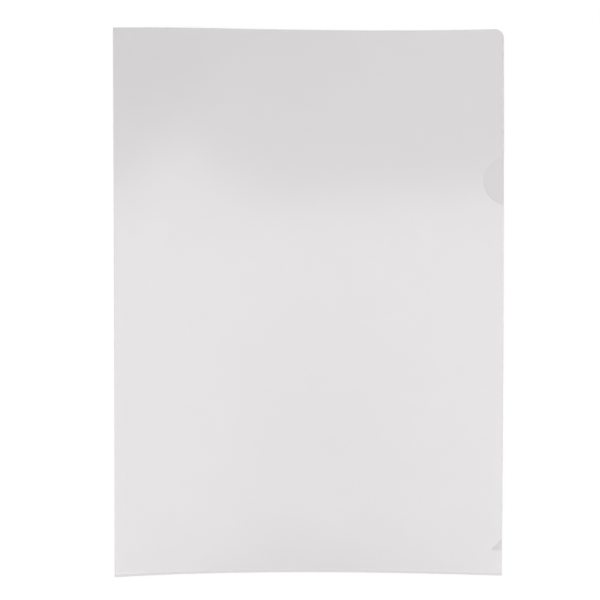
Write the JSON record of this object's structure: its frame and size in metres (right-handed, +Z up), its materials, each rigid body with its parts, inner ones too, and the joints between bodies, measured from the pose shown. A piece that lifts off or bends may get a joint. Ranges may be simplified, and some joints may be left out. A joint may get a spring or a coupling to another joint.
{
  "type": "clear document folder",
  "caption": "Flat clear plastic folder for A4 paper, folded at the left and welded along the bottom, with a thumb notch in its front leaf, which bends open from the top right corner.",
  "frame": {"origin": "centre of the folder's outline, on the surface it lies on", "axes": "+X to the open side with the thumb notch, +Y to the open top edge, +Z up out of the front leaf"},
  "size_m": [0.22, 0.31, 0.0008],
  "materials": {
    "back_film": "gloss",
    "front_film": "gloss",
    "fold_film": "gloss",
    "weld_film": "satin"
  },
  "bodies": {
    "pocket": {"back_sheet": "back_film", "spine_fold": "fold_film", "bottom_weld": "weld_film", "front_base": "front_film"},
    "bend_1": {"front_bend_1": "front_film"},
    "bend_2": {"front_bend_2": "front_film"},
    "bend_3": {"front_bend_3": "front_film"},
    "bend_4": {"front_bend_4": "front_film"},
    "bend_5": {"front_bend_5": "front_film"},
    "bend_6": {"front_bend_6": "front_film"},
    "bend_7": {"front_bend_7": "front_film"},
    "corner": {"front_corner": "front_film"}
  },
  "joints": [
    {"name": "front_lift", "type": "hinge", "parent": "pocket", "child": "bend_1", "pos_m": [0.0065, 0.0103, 0.00057], "axis": [0.5818, -0.8134, 0], "range_deg": [0, 11], "stiffness_Nm_per_rad": 0.021},
    {"name": "front_lift_2", "type": "hinge", "parent": "bend_1", "child": "bend_2", "pos_m": [0.01789, 0.01844, 0.00057], "axis": [0.5818, -0.8134, 0], "range_deg": [0, 11], "stiffness_Nm_per_rad": 0.0193},
    {"name": "front_lift_3", "type": "hinge", "parent": "bend_2", "child": "bend_3", "pos_m": [0.02927, 0.02659, 0.00057], "axis": [0.5818, -0.8134, 0], "range_deg": [0, 11], "stiffness_Nm_per_rad": 0.0175},
    {"name": "front_lift_4", "type": "hinge", "parent": "bend_3", "child": "bend_4", "pos_m": [0.04066, 0.03473, 0.00057], "axis": [0.5818, -0.8134, 0], "range_deg": [0, 11], "stiffness_Nm_per_rad": 0.0158},
    {"name": "front_lift_5", "type": "hinge", "parent": "bend_4", "child": "bend_5", "pos_m": [0.05205, 0.04288, 0.00057], "axis": [0.5818, -0.8134, 0], "range_deg": [0, 11], "stiffness_Nm_per_rad": 0.014},
    {"name": "front_lift_6", "type": "hinge", "parent": "bend_5", "child": "bend_6", "pos_m": [0.06343, 0.05102, 0.00057], "axis": [0.5818, -0.8134, 0], "range_deg": [0, 11], "stiffness_Nm_per_rad": 0.0123},
    {"name": "front_lift_7", "type": "hinge", "parent": "bend_6", "child": "bend_7", "pos_m": [0.07482, 0.05917, 0.00057], "axis": [0.5818, -0.8134, 0], "range_deg": [0, 11], "stiffness_Nm_per_rad": 0.0105},
    {"name": "front_lift_8", "type": "hinge", "parent": "bend_7", "child": "corner", "pos_m": [0.08621, 0.06731, 0.00057], "axis": [0.5818, -0.8134, 0], "range_deg": [0, 11], "stiffness_Nm_per_rad": 0.0088}
  ],
  "couplings": [
    {"joint": "front_lift_2", "follows": "front_lift", "ratio": 1},
    {"joint": "front_lift_3", "follows": "front_lift", "ratio": 1},
    {"joint": "front_lift_4", "follows": "front_lift", "ratio": 1},
    {"joint": "front_lift_5", "follows": "front_lift", "ratio": 1},
    {"joint": "front_lift_6", "follows": "front_lift", "ratio": 1},
    {"joint": "front_lift_7", "follows": "front_lift", "ratio": 1},
    {"joint": "front_lift_8", "follows": "front_lift", "ratio": 1}
  ]
}
